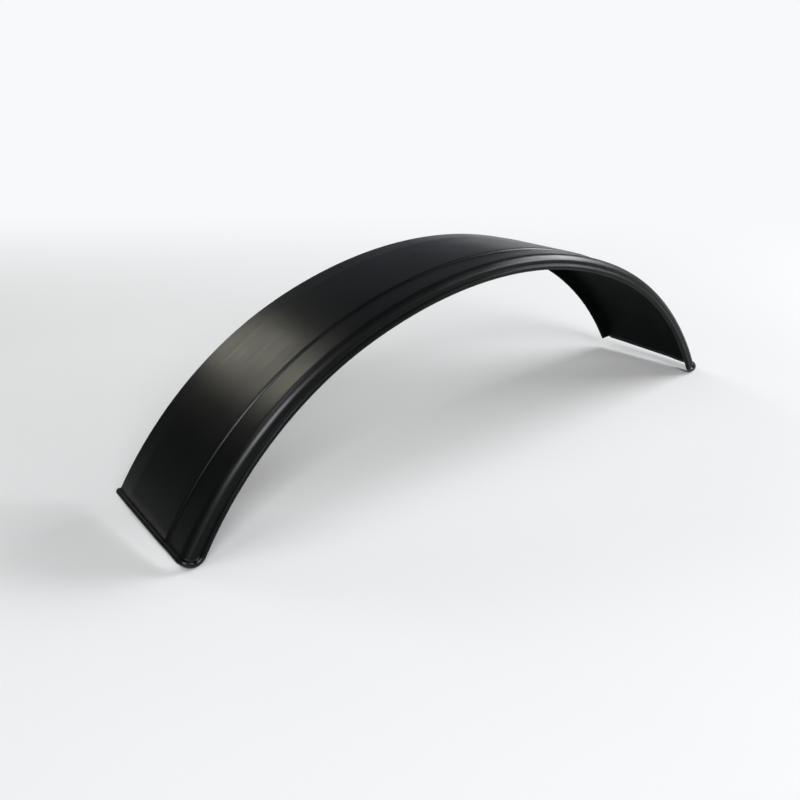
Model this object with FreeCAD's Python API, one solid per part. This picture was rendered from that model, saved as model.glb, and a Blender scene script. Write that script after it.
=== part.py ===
"""A one-piece moulded mudguard: an arched strip with an inner flange and a beaded rim.

X runs along the guard, Y across it with the inner flange on the +Y side, and Z is up.
The origin is on the ground under the middle of the guard, which stands on its two ends.
"""
import FreeCAD, Part
import math
import os

Vector = FreeCAD.Vector

# The arch, seen from the side: outer skin of the crown
TOP_RADIUS = 552.5
END_RADIUS = 432.0
TOP_HALF_ANGLE = 22.0
END_ANGLE = 58.8
# The ends run out of square, so that the front is the longer side
END_SLANT = 2.9

# The section, across the guard
WIDTH = 160.0
WALL = 3.0
FLANGE_DEPTH = 18.5
FLANGE_BEND_RADIUS = 3.0
FLANGE_TRIM_ANGLE = 32.0
BEVEL_WIDTH = 29.0
BEVEL_DROP = 1.2
CREASE_FROM_FLANGE = 119.8
CREASE_STEP = 1.8
CREASE_RUN = 1.6
SHOULDER_RADIUS = 9.0
SKIRT_HEIGHT = 5.1
RIM_DIP = 4.0

# The bead that stiffens the ends and the front rim
BEAD_RADIUS = 3.2
BEAD_CORNER_RADIUS = 7.0

# Section places: y across the guard, n outward from the crown's outer skin
FLANGE_Y = WIDTH / 2
SKIRT_Y = BEAD_RADIUS - WIDTH / 2
CREASE_Y = FLANGE_Y - CREASE_FROM_FLANGE
SHOULDER_END_N = -(CREASE_STEP + SHOULDER_RADIUS)
RIM_N = SHOULDER_END_N - SKIRT_HEIGHT

# Arch places, with the top of the crown's outer skin at the origin
Y_AXIS = Vector(0, 1, 0)
TOP_CENTRE = Vector(0, 0, -TOP_RADIUS)


def arch_normal(angle):
    """Direction out of the crown where it slopes down by this angle, in degrees, towards +X."""
    slope = math.radians(angle)
    return Vector(math.sin(slope), 0, math.cos(slope))


END_CENTRE = TOP_CENTRE + arch_normal(TOP_HALF_ANGLE) * (TOP_RADIUS - END_RADIUS)
END_UP = arch_normal(END_ANGLE)
END_ALONG = arch_normal(END_ANGLE + 90)
SLANT = math.radians(END_SLANT)
END_ACROSS = Y_AXIS * math.cos(SLANT) - END_ALONG * math.sin(SLANT)
END_OUT = END_ALONG * math.cos(SLANT) + Y_AXIS * math.sin(SLANT)


def corner_round(before, corner, after, radius):
    """Start, middle, end and centre of the arc that rounds one corner of an outline."""
    to_before = (before - corner).normalize()
    to_after = (after - corner).normalize()
    half_turn = to_before.getAngle(to_after) / 2
    reach = radius / math.tan(half_turn)
    bisector = (to_before + to_after).normalize()
    centre = corner + bisector * (radius / math.sin(half_turn))
    return corner + to_before * reach, centre - bisector * radius, corner + to_after * reach, centre


def rounded_face(corners):
    """Closed face from (y, n, rounding) corners, drawn across the top of the crown."""
    points = [Vector(0, y, n) for y, n, rounding in corners]
    edges = []
    stops = []
    for index, (y, n, rounding) in enumerate(corners):
        if rounding > 0:
            before = points[index - 1]
            after = points[(index + 1) % len(points)]
            start, middle, end, centre = corner_round(before, points[index], after, rounding)
            edges.append(Part.Arc(start, middle, end).toShape())
            stops.append((start, end))
        else:
            stops.append((points[index], points[index]))
    for index in range(len(stops)):
        leave = stops[index][1]
        arrive = stops[(index + 1) % len(stops)][0]
        if leave.distanceToPoint(arrive) > Part.Precision.confusion():
            edges.append(Part.LineSegment(leave, arrive).toShape())
    return Part.Face(Part.Wire(Part.__sortEdges__(edges)))


def skin_section(skirt_foot_n):
    """Section of the wall: flange, bevel, crown, crease, front strip, shoulder and skirt."""
    bevel_y = FLANGE_Y - BEVEL_WIDTH
    bevel_slope = math.atan2(BEVEL_DROP, BEVEL_WIDTH)
    flange_foot_n = -BEVEL_DROP - FLANGE_DEPTH
    crease_foot_y = CREASE_Y - CREASE_RUN
    crease_slope = math.atan2(CREASE_STEP, CREASE_RUN)
    # the wall stays as thick on the slopes, so the inner corners shift across
    inner_shift = WALL * math.tan(crease_slope / 2)
    bevel_shift = WALL * math.tan(bevel_slope / 2)
    flange_inner_n = -BEVEL_DROP - WALL / math.cos(bevel_slope) + WALL * math.tan(bevel_slope)
    outside = [
        (FLANGE_Y, flange_foot_n, 0),
        (FLANGE_Y, -BEVEL_DROP, FLANGE_BEND_RADIUS),
        (bevel_y, 0, 0),
        (CREASE_Y, 0, 0),
        (crease_foot_y, -CREASE_STEP, 0),
        (SKIRT_Y, -CREASE_STEP, SHOULDER_RADIUS),
        (SKIRT_Y, skirt_foot_n, 0),
    ]
    inside = [
        (SKIRT_Y + WALL, skirt_foot_n, 0),
        (SKIRT_Y + WALL, -CREASE_STEP - WALL, max(SHOULDER_RADIUS - WALL, 0)),
        (crease_foot_y + inner_shift, -CREASE_STEP - WALL, 0),
        (CREASE_Y + inner_shift, -WALL, 0),
        (bevel_y - bevel_shift, -WALL, 0),
        (FLANGE_Y - WALL, flange_inner_n, max(FLANGE_BEND_RADIUS - WALL, 0)),
        (FLANGE_Y - WALL, flange_foot_n, 0),
    ]
    return rounded_face(outside + inside)


def turned(shape, centre, angle):
    """Copy of a shape turned about a line along Y, towards +X, by an angle in degrees."""
    copy = shape.copy()
    copy.rotate(centre, Y_AXIS, angle)
    return copy


def mirrored_ends(shape):
    """The +X shape and its mirror image at the other end of the guard."""
    return [shape, shape.mirror(Vector(0, 0, 0), Vector(1, 0, 0))]


def skin():
    """The wall: its section carried round the top curve and each end curve, then cut to length."""
    past_end = math.degrees(WIDTH * math.tan(SLANT) / END_RADIUS)
    top_section = turned(skin_section(RIM_N), TOP_CENTRE, TOP_HALF_ANGLE)
    end_section = turned(skin_section(RIM_N - RIM_DIP), TOP_CENTRE, TOP_HALF_ANGLE)
    top = top_section.revolve(TOP_CENTRE, Y_AXIS, -2 * TOP_HALF_ANGLE)
    end = end_section.revolve(END_CENTRE, Y_AXIS, END_ANGLE - TOP_HALF_ANGLE + past_end)
    end = end.cut([end_waste(), flange_trim(), rim_waste(), corner_waste()])
    return top.fuse(mirrored_ends(end))


def end_point(across, n):
    """A point in the plane of the end: across the slanted end, and n outward from the crown."""
    return END_CENTRE + END_UP * (END_RADIUS + n) + END_ACROSS * across


def across_end(y):
    """Distance across the slanted end to a place y across the guard."""
    return y / math.cos(SLANT)


def end_waste():
    """Block of everything that lies past the slanted end."""
    reach = WIDTH
    turns = [(-1, -1), (1, -1), (1, 1), (-1, 1), (-1, -1)]
    outline = [end_point(across * reach, n * reach) for across, n in turns]
    return Part.Face(Part.makePolygon(outline)).extrude(END_OUT * reach)


def flange_trim():
    """Wedge that trims the flange back at an angle, from the bead down past the foot."""
    depth = 2 * FLANGE_DEPTH
    back = depth * math.tan(math.radians(FLANGE_TRIM_ANGLE))
    start = end_point(across_end(FLANGE_Y), -BEVEL_DROP) - Y_AXIS * WALL
    foot = start - END_UP * depth
    past = END_ALONG * depth
    outline = [start, foot - END_ALONG * back, foot + past, start + past, start]
    return Part.Face(Part.makePolygon(outline)).extrude(Y_AXIS * 2 * WALL)


def rim_curve():
    """Radius and centre of the rim's end curve, on the bead's middle line.

    It leaves the top curve in line and is tighter than the crown's, so that the rim dips towards the end.
    """
    crown_rim_radius = END_RADIUS + RIM_N
    rim_length = crown_rim_radius * math.radians(END_ANGLE - TOP_HALF_ANGLE)
    radius = 1 / (1 / crown_rim_radius + 2 * RIM_DIP / rim_length ** 2)
    join_up = arch_normal(TOP_HALF_ANGLE)
    return radius, END_CENTRE + join_up * (crown_rim_radius - radius) + Y_AXIS * SKIRT_Y


def rim_corner():
    """Centre, start and end of the bead's lower corner, which touches the slanted end and the rim."""
    rim_radius, rim_centre = rim_curve()
    along = -SKIRT_Y * math.tan(SLANT) - BEAD_CORNER_RADIUS
    to_rim = END_CENTRE + Y_AXIS * SKIRT_Y - rim_centre
    sideways = along + to_rim.dot(END_ALONG)
    height = math.sqrt((rim_radius + BEAD_CORNER_RADIUS) ** 2 - sideways ** 2) - to_rim.dot(END_UP)
    centre = END_CENTRE + END_UP * height + END_ALONG * along + Y_AXIS * SKIRT_Y
    up = (centre - rim_centre).normalize()
    return centre, centre + END_ALONG * BEAD_CORNER_RADIUS, centre - up * BEAD_CORNER_RADIUS


def rim_waste():
    """Everything of the skirt that lies below the bead's middle line."""
    radius, centre = rim_curve()
    return Part.makeCylinder(radius, 3 * WALL, centre - Y_AXIS * WALL, Y_AXIS)


def corner_waste():
    """Corner of the skirt that lies outside the bead's rounded corner."""
    centre, start, end = rim_corner()
    beyond = centre + (start - centre) * 1.5 + (end - centre) * 1.5
    outline = [point - Y_AXIS * WALL for point in (start, beyond, end, start)]
    return Part.Face(Part.makePolygon(outline)).extrude(Y_AXIS * 3 * WALL)


def bead_line(start, end):
    """Straight run of bead."""
    return Part.makeCylinder(BEAD_RADIUS, start.distanceToPoint(end), start, end - start)


def bead_bend(start, centre, axis, angle):
    """Bead carried from a start point round an axis by an angle in degrees."""
    tangent = axis.cross(start - centre)
    disc = Part.Face(Part.Wire(Part.makeCircle(BEAD_RADIUS, start, tangent)))
    return disc.revolve(centre, axis, angle)


def end_bead():
    """Bead of the +X end: from its tip at the flange across, over the shoulder and along the rim."""
    rim_radius, rim_centre = rim_curve()
    corner_centre, corner_start, rim_end = rim_corner()
    corner_up = corner_centre - rim_end
    corner_turn = math.degrees(END_ALONG.getAngle(corner_up * -1))
    rim_turn = math.degrees(corner_up.getAngle(arch_normal(TOP_HALF_ANGLE)))
    # the bead keeps its full size up to the flange's face
    tip = end_point(across_end(FLANGE_Y) - BEAD_RADIUS * math.tan(SLANT), -BEVEL_DROP)
    shoulder = end_point(across_end(SKIRT_Y), -CREASE_STEP)
    forward = (shoulder - tip).normalize()
    turn_start, middle, turn_end, turn_centre = corner_round(tip, shoulder, corner_start, SHOULDER_RADIUS)
    shoulder_turn = math.degrees(forward.getAngle(corner_start - shoulder))
    return [
        bead_line(tip, turn_start),
        bead_bend(turn_start, turn_centre, END_OUT, shoulder_turn),
        bead_line(turn_end, corner_start),
        bead_bend(corner_start, corner_centre, Y_AXIS, corner_turn),
        bead_bend(rim_end, rim_centre, Y_AXIS, -rim_turn),
    ]


def top_bead():
    """Bead of the front rim along the top curve."""
    start = TOP_CENTRE + arch_normal(TOP_HALF_ANGLE) * (TOP_RADIUS + RIM_N) + Y_AXIS * SKIRT_Y
    return bead_bend(start, TOP_CENTRE, Y_AXIS, -2 * TOP_HALF_ANGLE)


def bead():
    """The whole bead, from one end of the flange round the front to the other."""
    runs = []
    for run in end_bead():
        runs.extend(mirrored_ends(run))
    return top_bead().fuse(runs).removeSplitter()


def mudguard():
    """The whole guard, standing on the ground."""
    whole = skin().fuse(bead()).removeSplitter()
    whole.translate(Vector(0, 0, -whole.optimalBoundingBox(False).ZMin))
    return whole.Solids[0]


os.makedirs("parts", exist_ok=True)
guard = mudguard()
guard.exportStep("parts/mudguard.step")
box = guard.optimalBoundingBox(False)
print("valid", guard.isValid(), "volume", round(guard.Volume), "faces", len(guard.Faces))
print("box", [round(v, 2) for v in (box.XMin, box.XMax, box.YMin, box.YMax, box.ZMin, box.ZMax)])
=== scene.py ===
"""Dress the moulded mudguard for its studio picture.

The guard is one black polyethylene moulding. Its section is drawn once and carried round the
arch as an outer and an inner sheet. A border strip joins the two sheets all round: a half-round
edge on the flange, and the bead that stiffens both ends and the front rim. Lengths are metres,
and sizes are given in millimetres times MM.
"""
import logging
import math
from dataclasses import dataclass, field
from enum import Enum
from typing import NamedTuple, Sequence

import bmesh
import bpy
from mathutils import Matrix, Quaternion, Vector


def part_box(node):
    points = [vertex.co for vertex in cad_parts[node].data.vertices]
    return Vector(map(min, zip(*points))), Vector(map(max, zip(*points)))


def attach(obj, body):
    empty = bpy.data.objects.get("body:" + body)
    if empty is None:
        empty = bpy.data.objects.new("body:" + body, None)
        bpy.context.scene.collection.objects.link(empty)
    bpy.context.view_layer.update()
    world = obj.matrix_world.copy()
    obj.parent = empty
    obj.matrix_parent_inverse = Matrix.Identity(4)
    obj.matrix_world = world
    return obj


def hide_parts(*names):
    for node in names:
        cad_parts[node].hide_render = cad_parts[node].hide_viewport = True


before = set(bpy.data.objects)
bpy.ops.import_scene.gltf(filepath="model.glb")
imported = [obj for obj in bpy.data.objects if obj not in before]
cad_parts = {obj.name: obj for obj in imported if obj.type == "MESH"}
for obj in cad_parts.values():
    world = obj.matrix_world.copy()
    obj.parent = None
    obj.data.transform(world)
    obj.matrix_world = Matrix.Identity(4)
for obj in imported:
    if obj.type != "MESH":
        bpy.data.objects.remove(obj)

log = logging.getLogger("mudguard")

MM = 0.001
NODE = "mudguard"
BODY = "root"

# vertices nearer than this become one, and edges shorter than this are taken out
MERGE_DISTANCE = 0.002 * MM
SLIVER_LENGTH = 0.001 * MM
# power of each square metre of a lamp whose face shows as white
LAMP_WATTS = 4.0

Lengths = tuple[float, float]
Place = tuple[float, float, float]
Sheet = list[list[bmesh.types.BMVert]]


class Skin(Enum):
    """Parts of the guard's surface that differ in finish, by the number of their material."""

    FACE = 0
    INSIDE = 1
    EDGE = 2


def linear(hex_colour: str) -> tuple[float, float, float, float]:
    """Turn an sRGB hex colour into linear values.

    Args:
        hex_colour: Six hex digits, with or without a leading hash.

    Returns:
        Linear red, green and blue, and full opacity.
    """
    digits = hex_colour.lstrip("#")
    channels = [int(digits[start:start + 2], 16) / 255 for start in (0, 2, 4)]
    red, green, blue = [
        level / 12.92 if level <= 0.04045 else ((level + 0.055) / 1.055) ** 2.4
        for level in channels
    ]
    return red, green, blue, 1.0


def eased(share: float) -> float:
    """Ease a share between 0 and 1, so that it starts and stops gently."""
    kept = min(max(share, 0.0), 1.0)
    return kept * kept * (3 - 2 * kept)


def add_node(
    tree: bpy.types.NodeTree,
    kind: str,
    settings: dict[str, object] | None = None,
    values: dict[str, object] | None = None,
    links: dict[str, bpy.types.NodeSocket] | None = None,
) -> bpy.types.Node:
    """Add a node with its settings, its socket values and its incoming links.

    Args:
        tree: Node tree that takes the node.
        kind: Blender's name for the node type.
        settings: Attributes of the node.
        values: Input sockets, by name or by number, and the values they hold.
        links: Input sockets, by name or by number, and the sockets that feed them.

    Returns:
        The new node.
    """
    node = tree.nodes.new(kind)
    for name, setting in (settings or {}).items():
        setattr(node, name, setting)
    for name, value in (values or {}).items():
        node.inputs[name].default_value = value
    for name, source in (links or {}).items():
        tree.links.new(source, node.inputs[name])
    return node


def empty_material(name: str) -> tuple[bpy.types.Material, bpy.types.NodeTree]:
    """Make a material with no nodes in it.

    Args:
        name: Name of the material.

    Returns:
        The material and its node tree.
    """
    material = bpy.data.materials.new(name)
    material.use_nodes = True
    material.node_tree.nodes.clear()
    return material, material.node_tree


@dataclass(frozen=True)
class BlackPolyethylene:
    """Black polyethylene sheet, moulded in a satin tool.

    The tool's fine grain spreads each lamp into a broad soft sheen with no sharp mirror image, and
    the sheet cools with a slight waviness, so the edges of that sheen wander. Carbon black in the
    plastic leaves almost no colour under the sheen.
    """

    name: str = "black_polyethylene_satin_face"
    pigment: str = "#040505"
    pale_pigment: str = "#080909"
    ior: float = 1.52
    shine: float = 0.28
    smooth_roughness: float = 0.27
    rough_roughness: float = 0.37
    grain_width: float = 0.9 * MM
    grain_depth: float = 0.006 * MM
    wave_width: float = 55 * MM
    wave_depth: float = 0.03 * MM
    streak_width: float = 6 * MM
    streak_length: float = 160 * MM
    cloud_share: float = 0.6
    noise_span: tuple[float, float] = (0.3, 0.7)

    def material(self) -> bpy.types.Material:
        """Build the node material.

        Returns:
            The finished material.
        """
        material, tree = empty_material(self.name)
        place = add_node(tree, "ShaderNodeTexCoord")
        along = add_node(
            tree,
            "ShaderNodeMapping",
            values={"Scale": (1 / self.streak_length, 1 / self.streak_width, 1.0)},
            links={"Vector": place.outputs["UV"]},
        )
        streaks = add_node(
            tree,
            "ShaderNodeTexNoise",
            values={"Scale": 1.0, "Detail": 3.0, "Roughness": 0.55},
            links={"Vector": along.outputs["Vector"]},
        )
        clouds = add_node(
            tree,
            "ShaderNodeTexNoise",
            values={"Scale": 1 / self.wave_width, "Detail": 2.0},
            links={"Vector": place.outputs["Object"]},
        )
        # the grain is finer than a pixel, so it is drawn a little coarser than the tool's
        grain = add_node(
            tree,
            "ShaderNodeTexVoronoi",
            {"feature": "SMOOTH_F1"},
            {"Scale": 1 / self.grain_width, "Smoothness": 1.0},
            {"Vector": place.outputs["Object"]},
        )
        patchy = add_node(
            tree,
            "ShaderNodeMix",
            {"data_type": "FLOAT"},
            {"Factor": self.cloud_share},
            {"A": streaks.outputs["Fac"], "B": clouds.outputs["Fac"]},
        )
        roughness = add_node(
            tree,
            "ShaderNodeMapRange",
            values={
                "From Min": self.noise_span[0],
                "From Max": self.noise_span[1],
                "To Min": self.smooth_roughness,
                "To Max": self.rough_roughness,
            },
            links={"Value": patchy.outputs["Result"]},
        )
        colour = add_node(
            tree,
            "ShaderNodeMix",
            {"data_type": "RGBA"},
            {"A": linear(self.pigment), "B": linear(self.pale_pigment)},
            {"Factor": clouds.outputs["Fac"]},
        )
        waves = add_node(
            tree,
            "ShaderNodeBump",
            values={"Strength": 1.0, "Distance": self.wave_depth},
            links={"Height": clouds.outputs["Fac"]},
        )
        grained = add_node(
            tree,
            "ShaderNodeBump",
            values={"Strength": 1.0, "Distance": self.grain_depth},
            links={"Height": grain.outputs["Distance"], "Normal": waves.outputs["Normal"]},
        )
        shader = add_node(
            tree,
            "ShaderNodeBsdfPrincipled",
            values={"IOR": self.ior, "Specular IOR Level": self.shine},
            links={
                "Base Color": colour.outputs["Result"],
                "Roughness": roughness.outputs["Result"],
                "Normal": grained.outputs["Normal"],
            },
        )
        add_node(tree, "ShaderNodeOutputMaterial", links={"Surface": shader.outputs["BSDF"]})
        return material


def finishes() -> dict[Skin, BlackPolyethylene]:
    """Say how each skin of the guard is finished.

    The face took the satin of the tool. The inside cooled away from the tool and stayed dull, so
    that it hardly shines; its pigment is also painted paler and bluer than the face's, a painted
    fill light that brightens the shaded inner faces. The skirt was drawn down and the bead rolled
    over while hot, which left both duller than the face. Only the bead's lower corners were
    pressed into the tool and have its satin.

    Returns:
        The finish of each skin.
    """
    return {
        Skin.FACE: BlackPolyethylene(),
        Skin.INSIDE: BlackPolyethylene(
            name="black_polyethylene_dull_inside_painted_fill",
            # painted fill light: the inside's pigment is paler than the face's, to brighten its
            # shaded faces
            pigment="#0c0f10",
            pale_pigment="#121516",
            shine=0.015,
            smooth_roughness=0.5,
            rough_roughness=0.62,
            grain_depth=0.02 * MM,
        ),
        Skin.EDGE: BlackPolyethylene(
            name="black_polyethylene_rolled_edge",
            shine=0.12,
            smooth_roughness=0.36,
            rough_roughness=0.46,
        ),
    }


@dataclass(frozen=True)
class StudioPaper:
    """White paper roll: matt, a little uneven, so that shadows on it fade softly.

    Behind the guard the paper is drawn as evenly lit white, for the camera and in reflections.
    """

    name: str = "white_studio_paper"
    white: str = "#f2f2f0"
    shade: str = "#ededeb"
    far_white: str = "#f8f9fb"
    roughness: float = 0.9
    mottle_width: float = 400 * MM
    white_from: float = 0.1
    white_by: float = 1.6

    def material(self, away: Vector) -> bpy.types.Material:
        """Build the node material.

        Args:
            away: Level direction from the camera to the backdrop.

        Returns:
            The finished material.
        """
        material, tree = empty_material(self.name)
        place = add_node(tree, "ShaderNodeTexCoord")
        mottle = add_node(
            tree,
            "ShaderNodeTexNoise",
            values={"Scale": 1 / self.mottle_width, "Detail": 2.0},
            links={"Vector": place.outputs["Object"]},
        )
        colour = add_node(
            tree,
            "ShaderNodeMix",
            {"data_type": "RGBA"},
            {"A": linear(self.white), "B": linear(self.shade)},
            {"Factor": mottle.outputs["Fac"]},
        )
        shader = add_node(
            tree,
            "ShaderNodeBsdfPrincipled",
            values={"Roughness": self.roughness, "Specular IOR Level": 0.0},
            links={"Base Color": colour.outputs["Result"]},
        )
        behind = add_node(
            tree,
            "ShaderNodeVectorMath",
            {"operation": "DOT_PRODUCT"},
            {1: tuple(away)},
            {0: place.outputs["Object"]},
        )
        far = add_node(
            tree,
            "ShaderNodeMapRange",
            {"interpolation_type": "SMOOTHSTEP"},
            {"From Min": self.white_from, "From Max": self.white_by},
            {"Value": behind.outputs["Value"]},
        )
        path = add_node(tree, "ShaderNodeLightPath")
        seen = add_node(
            tree,
            "ShaderNodeMath",
            {"operation": "ADD"},
            links={0: path.outputs["Is Camera Ray"], 1: path.outputs["Is Glossy Ray"]},
        )
        shown = add_node(
            tree,
            "ShaderNodeMath",
            {"operation": "ADD", "use_clamp": True},
            links={0: seen.outputs["Value"], 1: path.outputs["Is Transmission Ray"]},
        )
        share = add_node(
            tree,
            "ShaderNodeMath",
            {"operation": "MULTIPLY"},
            links={0: far.outputs["Result"], 1: shown.outputs["Value"]},
        )
        white = add_node(
            tree,
            "ShaderNodeEmission",
            values={"Color": linear(self.far_white), "Strength": 1.0},
        )
        paper = add_node(
            tree,
            "ShaderNodeMixShader",
            links={
                0: share.outputs["Value"],
                1: shader.outputs["BSDF"],
                2: white.outputs["Emission"],
            },
        )
        add_node(tree, "ShaderNodeOutputMaterial", links={"Surface": paper.outputs["Shader"]})
        return material


@dataclass(frozen=True)
class Arch:
    """Side view of the guard: one wide curve over the top and a tighter one down to each end."""

    top: float
    top_radius: float = 552.5 * MM
    end_radius: float = 432.0 * MM
    top_half_angle: float = math.radians(22.0)
    end_angle: float = math.radians(58.8)

    @property
    def top_half_length(self) -> float:
        """Length of the wide curve on one side of the middle."""
        return self.top_radius * self.top_half_angle

    @property
    def half_length(self) -> float:
        """Length of the crown from the middle to one end."""
        return self.top_half_length + self.end_radius * (self.end_angle - self.top_half_angle)

    def slope(self, along: float) -> float:
        """Angle by which the crown slopes down.

        Args:
            along: Length along the crown from the middle, towards +X.

        Returns:
            The angle in radians, negative on the -X side.
        """
        past = abs(along) - self.top_half_length
        if past <= 0:
            return along / self.top_radius
        return math.copysign(self.top_half_angle + past / self.end_radius, along)

    def out(self, along: float) -> Vector:
        """Direction straight out of the crown."""
        angle = self.slope(along)
        return Vector((math.sin(angle), 0.0, math.cos(angle)))

    def place(self, along: float, y: float, n: float) -> Vector:
        """Find a point of the guard.

        Args:
            along: Length along the crown from the middle, towards +X.
            y: Place across the guard.
            n: Height out of the crown's outer skin.

        Returns:
            The point in the frame of the part.
        """
        out = self.out(along)
        centre = Vector((0.0, y, self.top - self.top_radius))
        if abs(along) <= self.top_half_length:
            return centre + out * (self.top_radius + n)
        join = self.out(math.copysign(self.top_half_length, along))
        return centre + join * (self.top_radius - self.end_radius) + out * (self.end_radius + n)


class SectionPoint(NamedTuple):
    """A point of the section: place across, height, and the direction out of the skin there."""

    y: float
    n: float
    out_y: float
    out_n: float


class Corner(NamedTuple):
    """A corner of the section's outline and the radius that rounds it."""

    y: float
    n: float
    radius: float


@dataclass(frozen=True)
class Section:
    """Outer line of the wall from the flange's foot over the crown and the shoulder to the rim.

    Skin that faces the front more squarely than skirt_facing belongs to the skirt.
    """

    width: float
    flange_depth: float = 18.5 * MM
    flange_bend_radius: float = 3.6 * MM
    bevel_width: float = 29.0 * MM
    bevel_drop: float = 1.2 * MM
    bevel_radius: float = 60.0 * MM
    crease_from_flange: float = 119.4 * MM
    crease_step: float = 1.8 * MM
    crease_run: float = 1.4 * MM
    crease_top_radius: float = 3.2 * MM
    crease_foot_radius: float = 0.9 * MM
    inner_crease_run: float = 20.0 * MM
    end_bead_sink: float = 0.7 * MM
    end_bead_slope: float = 18.0 * MM
    shoulder_radius: float = 9.0 * MM
    skirt_height: float = 5.1 * MM
    bead_radius: float = 3.2 * MM
    bead_inset: float = 4.7 * MM
    edge_radius: float = 1.5 * MM
    edge_inset: float = 1.6 * MM
    flat_step: float = 9.0 * MM
    skirt_step: float = 0.1 * MM
    skirt_facing: float = -0.95
    arc_step: float = math.radians(9.0)
    least_arc_steps: int = 3

    @property
    def flange_y(self) -> float:
        """Place of the flange's outer face."""
        return self.width / 2

    @property
    def skirt_y(self) -> float:
        """Place of the skirt's outer face, which the bead stands out from."""
        return self.bead_radius - self.width / 2

    @property
    def crease_y(self) -> float:
        """Place of the crease's upper edge."""
        return self.flange_y - self.crease_from_flange

    @property
    def shoulder_n(self) -> float:
        """Height at which the shoulder turns into the skirt."""
        return -self.crease_step - self.shoulder_radius

    @property
    def rim_n(self) -> float:
        """Height of the sheet's edge above the rim's bead."""
        return self.shoulder_n - self.skirt_height + self.bead_inset

    def on_flange(self, point: SectionPoint) -> bool:
        """Whether a point lies on the flange or on its bend."""
        return point.y > self.flange_y - self.flange_bend_radius

    def on_crown(self, point: SectionPoint) -> bool:
        """Whether a point lies between the shoulder and the flange's bend."""
        shoulder_y = self.skirt_y + self.shoulder_radius
        return shoulder_y < point.y < self.flange_y - self.flange_bend_radius

    def corners(self) -> list[Corner]:
        """List the corners of the outline.

        Returns:
            The corners from the flange's foot to the rim.
        """
        foot = -self.bevel_drop - self.flange_depth + self.edge_radius + self.edge_inset
        return [
            Corner(self.flange_y, foot, 0.0),
            Corner(self.flange_y, -self.bevel_drop, self.flange_bend_radius),
            Corner(self.flange_y - self.bevel_width, 0.0, self.bevel_radius),
            Corner(self.crease_y, 0.0, self.crease_top_radius),
            Corner(self.crease_y - self.crease_run, -self.crease_step, self.crease_foot_radius),
            Corner(self.skirt_y, -self.crease_step, self.shoulder_radius),
            Corner(self.skirt_y, self.rim_n, 0.0),
        ]

    def points(self) -> list[SectionPoint]:
        """Draw the outline, with its corners rounded and its flats divided.

        Returns:
            Points from the flange's foot to the rim.
        """
        corners = self.corners()
        foot, rim = corners[0], corners[-1]
        drawn = [SectionPoint(foot.y, foot.n, 1.0, 0.0)]
        for before, corner, after in zip(corners, corners[1:], corners[2:]):
            arc = self._rounding(before, corner, after)
            drawn += self._flat(drawn[-1], arc[0], self.flat_step) + arc
        end = SectionPoint(rim.y, rim.n, -1.0, 0.0)
        return drawn + self._flat(drawn[-1], end, self.skirt_step) + [end]

    def end_bead_n(self, y: float) -> float:
        """Find the height of an end's bead, which takes the crease in a longer slope than the skin.

        Args:
            y: Place across the guard.

        Returns:
            The height out of the crown's outer skin.
        """
        start = self.crease_y + (self.end_bead_slope - self.crease_run) / 2
        drop = (self.crease_step - self.end_bead_sink) * eased((start - y) / self.end_bead_slope)
        beside_flange = max(y - self.flange_y + self.bevel_width, 0.0) / self.bevel_width
        return -self.end_bead_sink - drop - (self.bevel_drop - self.end_bead_sink) * beside_flange

    def inner_point(self, point: SectionPoint, wall: float) -> Lengths:
        """Find the point of the inner skin that lies behind a point of the outer one.

        The inner skin takes the crease's step in a long slope.

        Args:
            point: Point of the outer skin.
            wall: Thickness of the wall.

        Returns:
            Its place across and its height.
        """
        start = self.crease_y + (self.inner_crease_run - self.crease_run) / 2
        share = (start - point.y) / self.inner_crease_run
        if 0 < share < 1:
            return point.y, -self.crease_step * eased(share) - wall
        return point.y - point.out_y * wall, point.n - point.out_n * wall

    def _flat(self, start: SectionPoint, end: SectionPoint, step: float) -> list[SectionPoint]:
        """Divide a straight stretch.

        Args:
            start: First end of the stretch.
            end: Other end of the stretch.
            step: Longest length that stays undivided.

        Returns:
            The points between the two ends.
        """
        across, rise = end.y - start.y, end.n - start.n
        count = max(1, math.ceil(math.hypot(across, rise) / step))
        shares = [index / count for index in range(1, count)]
        return [
            end._replace(y=start.y + across * share, n=start.n + rise * share)
            for share in shares
        ]

    def _rounding(self, before: Corner, corner: Corner, after: Corner) -> list[SectionPoint]:
        """Round one corner.

        Args:
            before: The corner before it.
            corner: The corner to round.
            after: The corner after it.

        Returns:
            Points of the arc, from one flat to the next.
        """
        spot = Vector(corner[:2])
        arrive = (spot - Vector(before[:2])).normalized()
        leave = (Vector(after[:2]) - spot).normalized()
        turn = math.atan2(arrive.x * leave.y - arrive.y * leave.x, arrive.dot(leave))
        reach = math.copysign(corner.radius, turn)
        start = spot - arrive * corner.radius * math.tan(abs(turn) / 2)
        centre = start + Vector((-arrive.y, arrive.x)) * reach
        steps = max(self.least_arc_steps, math.ceil(abs(turn) / self.arc_step))
        arc = []
        for step in range(steps + 1):
            angle = turn * step / steps
            out_y = arrive.x * math.sin(angle) + arrive.y * math.cos(angle)
            out_n = arrive.y * math.sin(angle) - arrive.x * math.cos(angle)
            y, n = centre.x + out_y * reach, centre.y + out_n * reach
            arc.append(SectionPoint(y, n, out_y, out_n))
        return arc


class EdgeStop(NamedTuple):
    """A stop on the way round the border: vertices, directions, and the edge's size and skin."""

    outer: bmesh.types.BMVert
    inner: bmesh.types.BMVert
    away: Vector
    out: Vector
    radius: float
    inset: float
    lift: float
    skin: Skin


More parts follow.
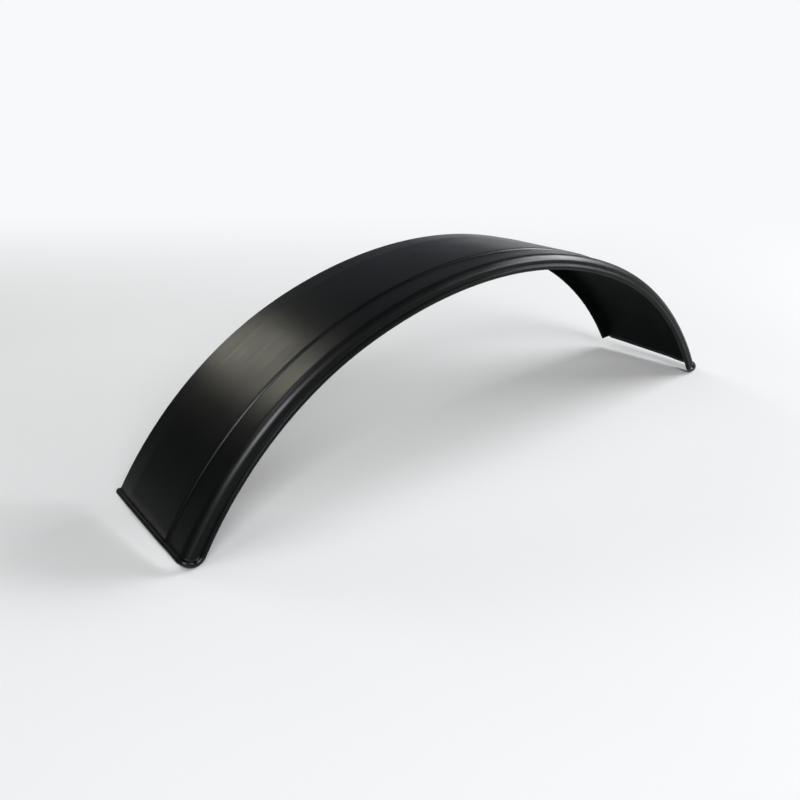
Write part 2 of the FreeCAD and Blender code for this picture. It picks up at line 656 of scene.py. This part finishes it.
@dataclass
class Mudguard:
    """The whole guard: two sheets and the beaded border that joins them."""

    arch: Arch
    section: Section
    wall: float = 3.0 * MM
    end_slant: float = math.tan(math.radians(2.9))
    trim_slope: float = math.tan(math.radians(32.0))
    rim_dip: float = 4.0 * MM
    corner_radius: float = 5.4 * MM
    satin_corner: float = 10.8 * MM
    bead_fillet: float = 0.9 * MM
    stations: int = 128
    corner_steps: int = 7
    fillet_steps: int = 4
    bead_steps: int = 16
    points: list[SectionPoint] = field(init=False)
    to_rim: list[float] = field(init=False)

    def __post_init__(self) -> None:
        """Draw the section, and measure along it from each of its points to the rim at the ends."""
        self.points = self.section.points()
        self.to_rim = [0.0]
        for lower, upper in zip(self.points[::-1], self.points[-2::-1]):
            step = math.hypot(upper.y - lower.y, upper.n - lower.n)
            dip = self.rim_dip * (self._skirt_share(lower) - self._skirt_share(upper))
            self.to_rim.insert(0, self.to_rim[0] + step + dip)

    def _skirt_share(self, point: SectionPoint) -> float:
        """Find how far down the skirt a point lies.

        Args:
            point: Point of the section.

        Returns:
            Its share of the way from the shoulder to the rim, which is 0 off the skirt.
        """
        section = self.section
        share = (section.shoulder_n - point.n) / (section.shoulder_n - section.rim_n)
        return max(share, 0.0) if point.y < 0 else 0.0

    def row_end(self, row: int) -> float:
        """Length along the crown at which a row of the sheet stops.

        Args:
            row: Number of the row, from the flange's foot to the rim.

        Returns:
            The length, measured from the middle of the guard.
        """
        point = self.points[row]
        radius, inset = self.edge_at(row)
        end = self.arch.half_length - point.y * self.end_slant - inset
        if self.section.on_flange(point):
            depth = max(-point.n - self.section.bevel_drop, 0.0)
            bead_cover = self.section.bead_radius * point.out_n
            end -= max(depth * self.trim_slope + radius - bead_cover, 0.0)
        if self.to_rim[row] < self.corner_radius:
            chord = self.corner_radius - self.to_rim[row]
            end -= self.corner_radius - math.sqrt(self.corner_radius ** 2 - chord ** 2)
        return end

    def edge_at(self, row: int) -> Lengths:
        """Size of the edge at the end of a row.

        The bead keeps its size across the end and is cut off flush with the flange's face, which
        leaves the flange a half-round edge.

        Args:
            row: Number of the row.

        Returns:
            The edge's radius, and how far its middle lies outside the sheet.
        """
        section = self.section
        point = self.points[row]
        height = section.bead_radius
        if section.on_flange(point) and point.out_y > 0:
            height = min(height, max((section.flange_y - point.y) / point.out_y, 0.0))
        radius = height if height > self.wall else (height + self.wall) / 2
        share = (radius - section.edge_radius) / (section.bead_radius - section.edge_radius)
        return radius, section.edge_inset + (section.bead_inset - section.edge_inset) * share

    def dip(self, along: float) -> float:
        """How far the rim has dropped at a length along the crown."""
        past = max(abs(along) - self.arch.top_half_length, 0.0)
        return self.rim_dip * (past / (self.arch.half_length - self.arch.top_half_length)) ** 2

    def along(self, row: int, station: int) -> float:
        """Length along the crown of a vertex of the sheet."""
        return (2 * station / (self.stations - 1) - 1) * self.row_end(row)

    def sheet_point(self, row: int, station: int, skin: Skin) -> Vector:
        """Find a point of the outer or the inner sheet.

        Args:
            row: Number of the row.
            station: Number of the station along the guard.
            skin: The skin, which is the face or the inside.

        Returns:
            The point in the frame of the part.
        """
        point = self.points[row]
        along = self.along(row, station)
        y, n = self.section.inner_point(point, self.wall) if skin is Skin.INSIDE else point[:2]
        return self.arch.place(along, y, n - self._skirt_share(point) * self.dip(along))

    def edge_profile(self, radius: float) -> list[Lengths]:
        """Draw the edge from the outer sheet round to the inner one.

        Args:
            radius: Radius of the bead or of the half-round edge.

        Returns:
            Distances away from the bead's middle and heights out of the outer skin.
        """
        sunk = max(self.wall - radius, 0.0)
        fillet = self.bead_fillet
        reach = math.sqrt(max((radius + fillet) ** 2 - (fillet + sunk) ** 2, 0.0))
        fillet_end = math.atan2(-sunk - fillet, reach)
        profile = []
        for step in range(self.fillet_steps):
            angle = -math.pi / 2 + (fillet_end + math.pi / 2) * step / self.fillet_steps
            profile.append((fillet * math.cos(angle) - reach, fillet + fillet * math.sin(angle)))
        start = math.atan2(fillet + sunk, -reach)
        foot = self.wall - sunk
        finish = math.atan2(-foot, -math.sqrt(max(radius ** 2 - foot ** 2, 0.0)))
        for step in range(self.bead_steps + 1):
            angle = start + (finish - start) * step / self.bead_steps
            profile.append((radius * math.cos(angle), radius * math.sin(angle) - sunk))
        return profile

    def build(self) -> bpy.types.Object:
        """Build the mesh and put it in the place of the part's solid.

        Returns:
            The guard as one object.
        """
        shell = bmesh.new()
        columns = range(self.stations)
        outer, inner = [
            [
                [shell.verts.new(self.sheet_point(row, column, skin)) for column in columns]
                for row in range(len(self.points))
            ]
            for skin in (Skin.FACE, Skin.INSIDE)
        ]
        for side, sheet in ((Skin.FACE, outer), (Skin.INSIDE, inner)):
            for row, (one, two) in enumerate(zip(sheet, sheet[1:])):
                skirt = side is Skin.FACE and self.points[row].out_y < self.section.skirt_facing
                skin = Skin.EDGE if skirt else side
                for column in columns[:-1]:
                    around = (one[column], one[column + 1], two[column + 1], two[column])
                    shell.faces.new(around).material_index = skin.value
        self._close(shell, self._border(outer, inner))
        bmesh.ops.remove_doubles(shell, verts=shell.verts[:], dist=MERGE_DISTANCE)
        bmesh.ops.dissolve_degenerate(shell, edges=shell.edges[:], dist=SLIVER_LENGTH)
        bmesh.ops.recalc_face_normals(shell, faces=shell.faces[:])
        return self._finish(shell)

    def _stop(
        self, sheets: tuple[Sheet, Sheet], side: list[tuple[int, int]], index: int
    ) -> EdgeStop:
        """Work out one stop on the way round the border.

        Args:
            sheets: Vertices of the outer and the inner sheet, by row and station.
            side: Rows and stations of one side of the sheet, in order.
            index: Number of the stop on that side.

        Returns:
            The stop.
        """
        outer, inner = sheets
        section = self.section
        row, column = side[index]
        back = side[max(index - 1, 0)]
        ahead = side[min(index + 1, len(side) - 1)]
        travel = outer[ahead[0]][ahead[1]].co - outer[back[0]][back[1]].co
        point = self.points[row]
        up = self.arch.out(self.along(row, column))
        out = up * point.out_n + Vector((0.0, point.out_y, 0.0))
        lift = 0.0
        if section.on_crown(point):
            # the bead stands straight up there, and goes over the crease in a line of its own
            out = up
            lift = section.end_bead_n(point.y) - point.n
        radius, inset = self.edge_at(row)
        away = out.cross(travel).normalized()
        at_end = back[0] != ahead[0]
        skin = Skin.FACE if at_end and self.to_rim[row] < self.satin_corner else Skin.EDGE
        if at_end and section.on_flange(point):
            # ribs across the trimmed end keep to the line of the arch, so that none cross
            along = Vector((up.z, 0.0, -up.x))
            away = along * math.copysign(1.0, away.dot(along))
        pair = outer[row][column], inner[row][column]
        return EdgeStop(*pair, away, out, radius, inset, lift, skin)

    def _border(self, outer: Sheet, inner: Sheet) -> list[EdgeStop]:
        """Walk round the border of the sheets.

        Args:
            outer: Vertices of the outer sheet, by row and station.
            inner: Vertices of the inner sheet, by row and station.

        Returns:
            The stops, in order, with extra ones that fan round each corner.
        """
        rows = range(len(self.points))
        columns = range(self.stations)
        sides = [
            [(rows[0], column) for column in columns],
            [(row, columns[-1]) for row in rows],
            [(rows[-1], column) for column in reversed(columns)],
            [(row, columns[0]) for row in reversed(rows)],
        ]
        sheets = outer, inner
        runs = [[self._stop(sheets, side, index) for index in range(len(side))] for side in sides]
        stops = []
        for run, following in zip(runs, runs[1:] + runs[:1]):
            stops += run
            skin = Skin.FACE if Skin.FACE in (run[-1].skin, following[0].skin) else Skin.EDGE
            for step in range(1, self.corner_steps):
                turn = run[-1].away.slerp(following[0].away, step / self.corner_steps)
                stops.append(run[-1]._replace(away=turn, skin=skin))
        return stops

    def _close(self, shell: bmesh.types.BMesh, stops: Sequence[EdgeStop]) -> None:
        """Join the sheets by carrying the edge profile round the border.

        Args:
            shell: Mesh that takes the border strip.
            stops: Stops on the way round.
        """
        ribs = []
        for stop in stops:
            rib = [stop.outer]
            for away, height in self.edge_profile(stop.radius):
                spot = stop.outer.co + stop.away * (away + stop.inset)
                spot += stop.out * (height + stop.lift)
                spot.y = min(spot.y, self.section.flange_y)
                rib.append(shell.verts.new(spot))
            ribs.append(rib + [stop.inner])
        for stop, one, two in zip(stops, ribs, ribs[1:] + ribs[:1]):
            for step in range(len(one) - 1):
                around = [one[step], one[step + 1], two[step + 1], two[step]]
                shell.faces.new(list(dict.fromkeys(around))).material_index = stop.skin.value

    def _finish(self, shell: bmesh.types.BMesh) -> bpy.types.Object:
        """Turn the built shell into a smooth object with its mapping.

        Args:
            shell: The closed mesh.

        Returns:
            The object, linked to the scene.
        """
        mapping = shell.loops.layers.uv.new("along_and_across")
        for face in shell.faces:
            face.smooth = True
            for loop in face.loops:
                spot = loop.vert.co
                angle = math.atan2(spot.x, spot.z - self.arch.top + self.arch.top_radius)
                across = spot.y + spot.z * abs(math.sin(angle))
                loop[mapping].uv = (angle * self.arch.top_radius, across)
        mesh = bpy.data.meshes.new("moulded_guard")
        shell.to_mesh(mesh)
        shell.free()
        guard = bpy.data.objects.new("moulded_guard", mesh)
        bpy.context.scene.collection.objects.link(guard)
        even = guard.modifiers.new("even_shading", "WEIGHTED_NORMAL")
        even.keep_sharp = True
        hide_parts(NODE)
        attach(guard, BODY)
        return guard

    def dress(self, guard: bpy.types.Object, skins: dict[Skin, BlackPolyethylene]) -> None:
        """Give the guard its finishes.

        Args:
            guard: The built guard.
            skins: Finish of each skin.
        """
        for skin in Skin:
            guard.data.materials.append(skins[skin].material())


def towards(bearing: float, rise: float) -> Vector:
    """Turn a bearing and a rise into a direction.

    Args:
        bearing: Degrees from +Y, behind the guard, towards +X.
        rise: Degrees above the level.

    Returns:
        The direction.
    """
    level = math.cos(math.radians(rise))
    turn = math.radians(bearing)
    return Vector((level * math.sin(turn), level * math.cos(turn), math.sin(math.radians(rise))))


@dataclass(frozen=True)
class Softbox:
    """A rectangular soft lamp that faces the guard from a bearing and a height.

    The bearing turns from +Y, behind the guard, towards +X. The tilt turns the lamp about the line
    to the guard, clockwise as the guard sees it. The glow is the brightness of the lamp's face,
    where 1 is white.
    """

    name: str
    bearing: float
    rise: float
    width: float
    height: float
    glow: float
    tint: str = "#fafbff"
    tilt: float = 0.0
    distance: float = 3.6
    middle: Place = (-0.1, 0.0, 0.15)

    def build(self) -> None:
        """Make the lamp and turn its face to the guard."""
        lamp = bpy.data.lights.new(self.name, "AREA")
        lamp.shape = "RECTANGLE"
        lamp.size = self.width
        lamp.size_y = self.height
        lamp.energy = LAMP_WATTS * self.width * self.height * self.glow
        lamp.color = linear(self.tint)[:3]
        ray = towards(self.bearing, self.rise)
        holder = bpy.data.objects.new(self.name, lamp)
        holder.location = Vector(self.middle) + ray * self.distance
        level = (-ray).to_track_quat("-Z", "Y")
        turn = Quaternion((0.0, 0.0, 1.0), math.radians(self.tilt))
        holder.rotation_euler = (level @ turn).to_euler()
        bpy.context.scene.collection.objects.link(holder)


@dataclass(frozen=True)
class Studio:
    """Paper floor and backdrop, soft lamps, a dim room and the camera of the picture.

    The pale wall is even within the first angle of pale_spread from its middle, and fades into the
    grey of the room by the second. Both are in degrees.
    """

    paper_near: float = 5.0
    paper_far: float = 6.0
    paper_half_width: float = 4.5
    paper_top: float = 0.92
    sweep_radius: float = 0.6
    sweep_steps: int = 16
    room_grey: str = "#3d3f42"
    pale_wall: str = "#6d7077"
    pale_bearing: float = 35.0
    pale_rise: float = 5.0
    pale_spread: tuple[float, float] = (15.0, 45.0)
    camera_place: Place = (-0.6545, -0.6834, 0.4307)
    camera_aim: Place = (-0.0971, 0.0, 0.0622)
    focal_length_mm: float = 36.48
    sensor_mm: float = 36.0

    def lamps(self) -> list[Softbox]:
        """List the soft lamps.

        Returns:
            The lamps, from the back round to the front.
        """
        return [
            Softbox(
                "back_softbox",
                bearing=-10.8,
                rise=33.2,
                width=0.95,
                height=0.96,
                glow=3.8,
                tint="#fffcea",
                tilt=45.0,
            ),
            Softbox(
                "right_softbox",
                bearing=108.5,
                rise=25.0,
                width=3.1,
                height=0.66,
                glow=14.6,
                tilt=30.0,
            ),
            Softbox(
                "overhead_softbox",
                bearing=-80.0,
                rise=59.0,
                width=2.8,
                height=1.0,
                glow=2.2,
            ),
            Softbox(
                "front_softbox",
                bearing=-153.5,
                rise=31.0,
                width=2.2,
                height=0.78,
                glow=14.8,
                tilt=-50.0,
            ),
        ]

    def build(self, paper: StudioPaper) -> None:
        """Set up the floor, the backdrop, the world, the lamps and the camera.

        Args:
            paper: Finish of the floor and the backdrop.
        """
        self._paper(paper)
        self._world()
        for lamp in self.lamps():
            lamp.build()
        self._camera()
        bpy.context.scene.view_settings.view_transform = "Standard"

    def _paper(self, paper: StudioPaper) -> None:
        """Lay the paper under the guard and sweep it up behind, as the camera sees it.

        Args:
            paper: Finish of the paper.
        """
        away = Vector(self.camera_aim) - Vector(self.camera_place)
        away.z = 0.0
        away.normalize()
        side = Vector((-away.y, away.x, 0.0)) * self.paper_half_width
        middle = Vector((self.camera_aim[0], self.camera_aim[1], 0.0))
        bend = self.paper_far - self.sweep_radius
        line = [(-self.paper_near, 0.0)]
        for step in range(self.sweep_steps + 1):
            angle = math.pi / 2 * step / self.sweep_steps
            far = bend + self.sweep_radius * math.sin(angle)
            line.append((far, self.sweep_radius * (1 - math.cos(angle))))
        line.append((self.paper_far, self.paper_top))
        ups = [middle + away * far + Vector((0.0, 0.0, high)) for far, high in line]
        corners = [tuple(spot + edge) for spot in ups for edge in (-side, side)]
        strips = [(one, one + 1, one + 3, one + 2) for one in range(0, len(corners) - 2, 2)]
        mesh = bpy.data.meshes.new("studio_paper")
        mesh.from_pydata(corners, [], strips)
        mesh.shade_smooth()
        sheet = bpy.data.objects.new("studio_paper", mesh)
        bpy.context.scene.collection.objects.link(sheet)
        mesh.materials.append(paper.material(away))

    def _world(self) -> None:
        """Fill the room with a dim grey, paler on the wall behind the guard's far end."""
        world = bpy.data.worlds.new("dim_room")
        world.use_nodes = True
        tree = world.node_tree
        tree.nodes.clear()
        whole, none = [math.cos(math.radians(angle)) for angle in self.pale_spread]
        place = add_node(tree, "ShaderNodeTexCoord")
        facing = add_node(
            tree,
            "ShaderNodeVectorMath",
            {"operation": "DOT_PRODUCT"},
            {1: tuple(towards(self.pale_bearing, self.pale_rise))},
            {0: place.outputs["Generated"]},
        )
        share = add_node(
            tree,
            "ShaderNodeMapRange",
            {"interpolation_type": "SMOOTHSTEP"},
            {"From Min": none, "From Max": whole},
            {"Value": facing.outputs["Value"]},
        )
        colour = add_node(
            tree,
            "ShaderNodeMix",
            {"data_type": "RGBA"},
            {"A": linear(self.room_grey), "B": linear(self.pale_wall)},
            {"Factor": share.outputs["Result"]},
        )
        room = add_node(tree, "ShaderNodeBackground", links={"Color": colour.outputs["Result"]})
        add_node(tree, "ShaderNodeOutputWorld", links={"Surface": room.outputs["Background"]})
        bpy.context.scene.world = world

    def _camera(self) -> None:
        """Place the camera where the picture was taken from."""
        lens = bpy.data.cameras.new("picture_camera")
        lens.sensor_width = self.sensor_mm
        lens.lens = self.focal_length_mm
        camera = bpy.data.objects.new("picture_camera", lens)
        camera.location = self.camera_place
        look = Vector(self.camera_aim) - Vector(self.camera_place)
        camera.rotation_euler = look.to_track_quat("-Z", "Y").to_euler()
        bpy.context.scene.collection.objects.link(camera)
        bpy.context.scene.camera = camera


def main() -> None:
    """Build the guard and the studio."""
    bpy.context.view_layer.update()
    low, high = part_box(NODE)
    guard = Mudguard(Arch(top=high.z), Section(width=high.y - low.y))
    piece = guard.build()
    guard.dress(piece, finishes())
    log.info("%s: %d faces", piece.name, len(piece.data.polygons))
    Studio().build(StudioPaper())
    bpy.context.view_layer.update()


if __name__ == "__main__":
    logging.basicConfig(level=logging.INFO, format="%(name)s: %(message)s")
    main()
